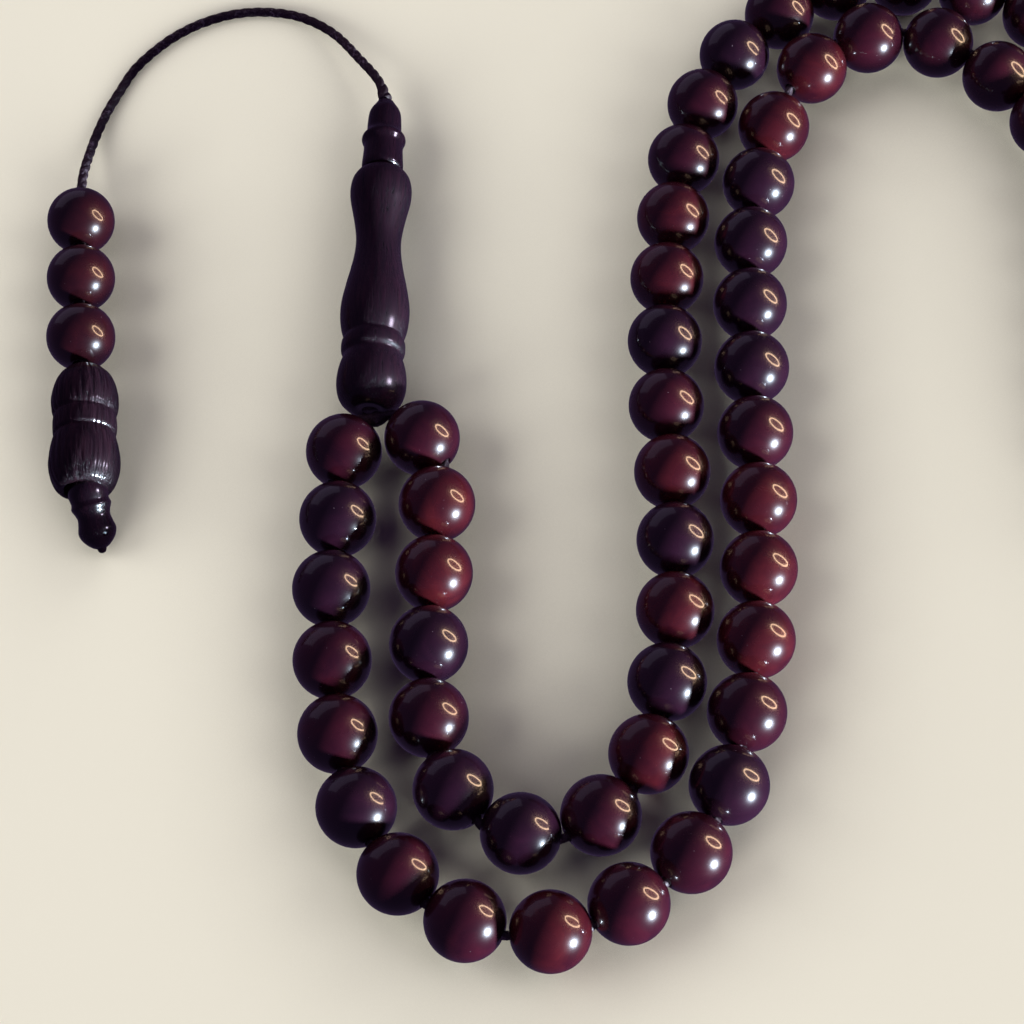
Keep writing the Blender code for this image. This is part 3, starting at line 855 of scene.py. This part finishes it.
def light_only(thing, collection):
    thing.light_linking.receiver_collection = collection


FLOOR_HALF_SIZE = 8.0
floor_mesh = bpy.data.meshes.new("floor")
floor_mesh.from_pydata(
    [(x * FLOOR_HALF_SIZE, y * FLOOR_HALF_SIZE, 0.0) for x, y in ((-1, -1), (1, -1), (1, 1), (-1, 1))],
    [], [(0, 1, 2, 3)],
)
floor = bpy.data.objects.new("floor", floor_mesh)
bpy.context.scene.collection.objects.link(floor)
floor_material, tree, shader = new_material("table")
# The shade that gathers this close under the pieces, in m, on top of the soft lights' shadows.
SHADE_DISTANCE = 0.016
nearness = add(tree, "ShaderNodeAmbientOcclusion", samples=5)
nearness.inputs["Distance"].default_value = SHADE_DISTANCE
tree.links.new(
    ramp(tree, nearness.outputs["AO"], [
        (0.10, (0.87, 0.84, 0.73)), (0.28, (0.54, 0.52, 0.453)), (0.45, (0.49, 0.47, 0.41)),
        (0.70, (0.67, 0.635, 0.56)), (0.93, (0.80, 0.768, 0.675)),
    ]),
    shader.inputs["Base Color"],
)
shader.inputs["Roughness"].default_value = 0.9
shader.inputs["Specular IOR Level"].default_value = 0.0
floor.data.materials.append(floor_material)
floor_lit.objects.link(floor)
floor.visible_glossy = False
floor.visible_diffuse = False


def area_light(name, at, towards, width, height, power, colour, collection):
    data = bpy.data.lights.new(name, "AREA")
    data.shape = "RECTANGLE"
    data.size = width
    data.size_y = height
    data.energy = power
    data.color = colour
    lamp = bpy.data.objects.new(name, data)
    lamp.location = at
    lamp.rotation_euler = (towards - at).to_track_quat("-Z", "Y").to_euler()
    bpy.context.scene.collection.objects.link(lamp)
    light_only(lamp, collection)
    return lamp


def soft_sun(name, azimuth, elevation, spread, strength, colour, collection):
    """Even light from one side; spread is the angle that its source covers."""
    data = bpy.data.lights.new(name, "SUN")
    data.energy = strength
    data.angle = math.radians(spread)
    data.color = colour
    lamp = bpy.data.objects.new(name, data)
    flat = heading(math.radians(azimuth)) * math.cos(math.radians(elevation))
    towards_source = Vector((flat.x, flat.y, math.sin(math.radians(elevation))))
    lamp.rotation_euler = towards_source.to_track_quat("Z", "Y").to_euler()
    bpy.context.scene.collection.objects.link(lamp)
    light_only(lamp, collection)
    return lamp


TABLE_LIGHT = (1.0, 0.995, 0.925)
for side, azimuth, elevation, spread, strength in (
    ("left", 180, 28, 50, 2.02),
    ("front_left", 240, 20, 36, 2.70),
    ("front_right", 300, 20, 36, 1.62),
    ("back", 70, 20, 40, 0.94),
    ("right", 0, 33, 40, 0.62),
):
    soft_sun(f"table_{side}", azimuth, elevation, spread, strength, TABLE_LIGHT, floor_lit)


def point_light(name, at, radius, power, colour, collection):
    data = bpy.data.lights.new(name, "POINT")
    data.shadow_soft_size = radius
    data.energy = power
    data.color = colour
    lamp = bpy.data.objects.new(name, data)
    lamp.location = at
    bpy.context.scene.collection.objects.link(lamp)
    light_only(lamp, collection)
    return lamp


# The small bright lamp low at the front right, and its stronger glint on the turned pieces.
SPARK_AT = plan(358.0, -250.0, 54.0)
point_light("spark", SPARK_AT, 0.026, 27.0, (0.74, 0.86, 1.0), object_lit)
glint = point_light("glint", SPARK_AT, 0.03, 95.0, (0.70, 0.85, 1.0), wood_lit)
glint.visible_diffuse = False


def emitter(name, mesh, colour, strength, collection):
    """A glowing mesh that lights a collection but isn't seen."""
    material = bpy.data.materials.new(name)
    material.use_nodes = True
    tree = material.node_tree
    tree.nodes.clear()
    glow = add(tree, "ShaderNodeEmission")
    glow.inputs["Color"].default_value = (*colour, 1.0)
    glow.inputs["Strength"].default_value = strength
    output = add(tree, "ShaderNodeOutputMaterial")
    tree.links.new(glow.outputs[0], output.inputs["Surface"])
    mesh.materials.append(material)
    thing = bpy.data.objects.new(name, mesh)
    bpy.context.scene.collection.objects.link(thing)
    thing.visible_camera = False
    thing.visible_shadow = False
    light_only(thing, collection)
    return thing


# A ring lamp, shaped so that a bead in the middle of the string shows it as a slanting oval.
RING_DISTANCE = 0.38
RING_TUBE = 0.0138
RING_POINTS = 48
RING_SIDES = 8
# Where the oval lies on the bead, its half sizes, as shares of the bead's radius, and its slant.
RING_AT = Vector((0.55, 0.225))
RING_HALF_LENGTH = 0.22
RING_HALF_WIDTH = 0.086
RING_SLANT = math.radians(41)
ring_bead = plan(25.7, -1.0, 4.0)
back_to_camera = (camera.location - ring_bead).normalized()
view_right = (Vector((1.0, 0.0, 0.0)) - back_to_camera * back_to_camera.x).normalized()
view_up = back_to_camera.cross(view_right)
long_way = Vector((math.cos(RING_SLANT), -math.sin(RING_SLANT))) * RING_HALF_LENGTH
short_way = Vector((math.sin(RING_SLANT), math.cos(RING_SLANT))) * RING_HALF_WIDTH
ring_path = []
for k in range(RING_POINTS):
    a = 2 * math.pi * k / RING_POINTS
    nx, ny = RING_AT + long_way * math.cos(a) + short_way * math.sin(a)
    normal = view_right * nx + view_up * ny + back_to_camera * math.sqrt(1.0 - nx * nx - ny * ny)
    mirrored = normal * 2.0 * normal.dot(back_to_camera) - back_to_camera
    ring_path.append(ring_bead + mirrored * RING_DISTANCE)
vertices, faces = [], []
for i, point in enumerate(ring_path):
    ahead = (ring_path[(i + 1) % RING_POINTS] - ring_path[i - 1]).normalized()
    outward = (point - ring_bead).normalized()
    across = ahead.cross(outward).normalized()
    for k in range(RING_SIDES):
        a = 2 * math.pi * k / RING_SIDES
        vertices.append(point + (across * math.cos(a) + outward * math.sin(a)) * RING_TUBE)
for i in range(RING_POINTS):
    low, high = i * RING_SIDES, (i + 1) % RING_POINTS * RING_SIDES
    for k in range(RING_SIDES):
        n = (k + 1) % RING_SIDES
        faces.append((low + k, low + n, high + n, high + k))
ring_mesh = bpy.data.meshes.new("ring_lamp")
ring_mesh.from_pydata(vertices, [], faces)
ring_lamp = emitter("ring_lamp", ring_mesh, (1.0, 0.68, 0.44), 15.0, beads_lit)
ring_lamp.visible_diffuse = False

# A low warm light from the right on the beads, a faint fill from behind, and two soft panels.
ember = soft_sun("ember", 12, 9, 3, 0.6, (1.0, 0.55, 0.36), beads_lit)
ember.visible_glossy = False
back_fill = soft_sun("back_fill", 125, 25, 50, 0.55, (1.0, 0.86, 0.95), object_lit)
back_fill.visible_glossy = False
area_light(
    "window", plan(-330.0, 560.0, 190.0), plan(5.0, 8.0), 0.80, 0.46, 0.19, (0.78, 0.68, 1.0),
    beads_lit,
)
area_light(
    "side_panel", plan(360.0, 20.0, 190.0), plan(-30.0, 25.0, 4.0), 0.08, 0.08, 0.85,
    (0.88, 0.76, 1.0), wood_lit,
)

world = bpy.data.worlds.new("world")
bpy.context.scene.world = world
world.use_nodes = True
world.node_tree.nodes["Background"].inputs["Color"].default_value = (0.62, 0.38, 1.0, 1.0)
world.node_tree.nodes["Background"].inputs["Strength"].default_value = 0.075

# A pale dome behind everything, which is only seen.
BACKDROP_RADIUS = 6.0
BACKDROP_SIDES = 32
BACKDROP_RISES = 8
backdrop_corners, backdrop_faces = [], []
for ring in range(BACKDROP_RISES + 1):
    rise = math.pi / 2 * ring / BACKDROP_RISES
    r, z = BACKDROP_RADIUS * math.cos(rise), BACKDROP_RADIUS * math.sin(rise) - 0.01
    for k in range(BACKDROP_SIDES):
        a = 2 * math.pi * k / BACKDROP_SIDES
        backdrop_corners.append((r * math.cos(a), r * math.sin(a), z))
for ring in range(BACKDROP_RISES):
    low, high = ring * BACKDROP_SIDES, (ring + 1) * BACKDROP_SIDES
    for k in range(BACKDROP_SIDES):
        n = (k + 1) % BACKDROP_SIDES
        backdrop_faces.append((low + k, low + n, high + n, high + k))
backdrop_mesh = bpy.data.meshes.new("backdrop")
backdrop_mesh.from_pydata(backdrop_corners, [], backdrop_faces)
backdrop = emitter("backdrop", backdrop_mesh, (0.79, 0.76, 0.672), 1.0, object_lit)
backdrop.visible_camera = True
for ray in ("diffuse", "glossy", "transmission", "volume_scatter", "shadow"):
    setattr(backdrop, f"visible_{ray}", False)

bpy.context.scene.view_settings.view_transform = "Standard"


# ---------------------------------------------------------------- joins to the frame


def stands_for(piece, body, slot, *nodes):
    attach(piece, body)
    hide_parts(*nodes)


stands_for(tail_cord, "tail_cord", "waxed_cord", "tail_cord")
stands_for(pillar_cord, "pillar_cord", "waxed_cord", "pillar_cord")
stands_for(loop_cord, "loop", "waxed_cord", "loop_cord")
for piece, body, node in beads:
    stands_for(piece, body, "bead_resin", node)
for piece, body, node in turned:
    stands_for(piece, body, "cap_wood" if node == "cap" else "turned_wood", node)
